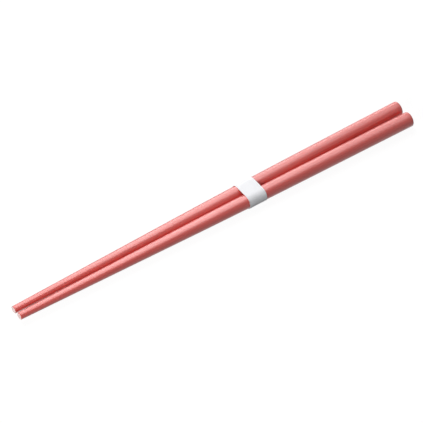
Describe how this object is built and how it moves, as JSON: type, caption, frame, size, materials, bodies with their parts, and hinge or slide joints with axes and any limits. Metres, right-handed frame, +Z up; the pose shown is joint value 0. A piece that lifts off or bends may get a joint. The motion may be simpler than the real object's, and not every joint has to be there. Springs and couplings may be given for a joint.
{
  "type": "pair of bamboo chopsticks",
  "caption": "Round, tapered bamboo chopsticks, dyed coral pink and held together by a glued white paper band.",
  "frame": {"origin": "on the surface that the pair lies on, under the middle of its length and between the sticks", "axes": "+X along the pair from the tips to the butts, +Y towards the right-hand stick as seen from the butts looking at the tips, +Z up"},
  "size_m": [0.24, 0.0174, 0.0082],
  "materials": {
    "dyed_bamboo": "bamboo, turned, dyed coral pink and finished smooth and satin",
    "band_paper": "white uncoated paper, matt"
  },
  "bodies": {
    "root": {"left_chopstick": "dyed_bamboo", "right_chopstick": "dyed_bamboo", "paper_band": "band_paper"}
  },
  "joints": []
}
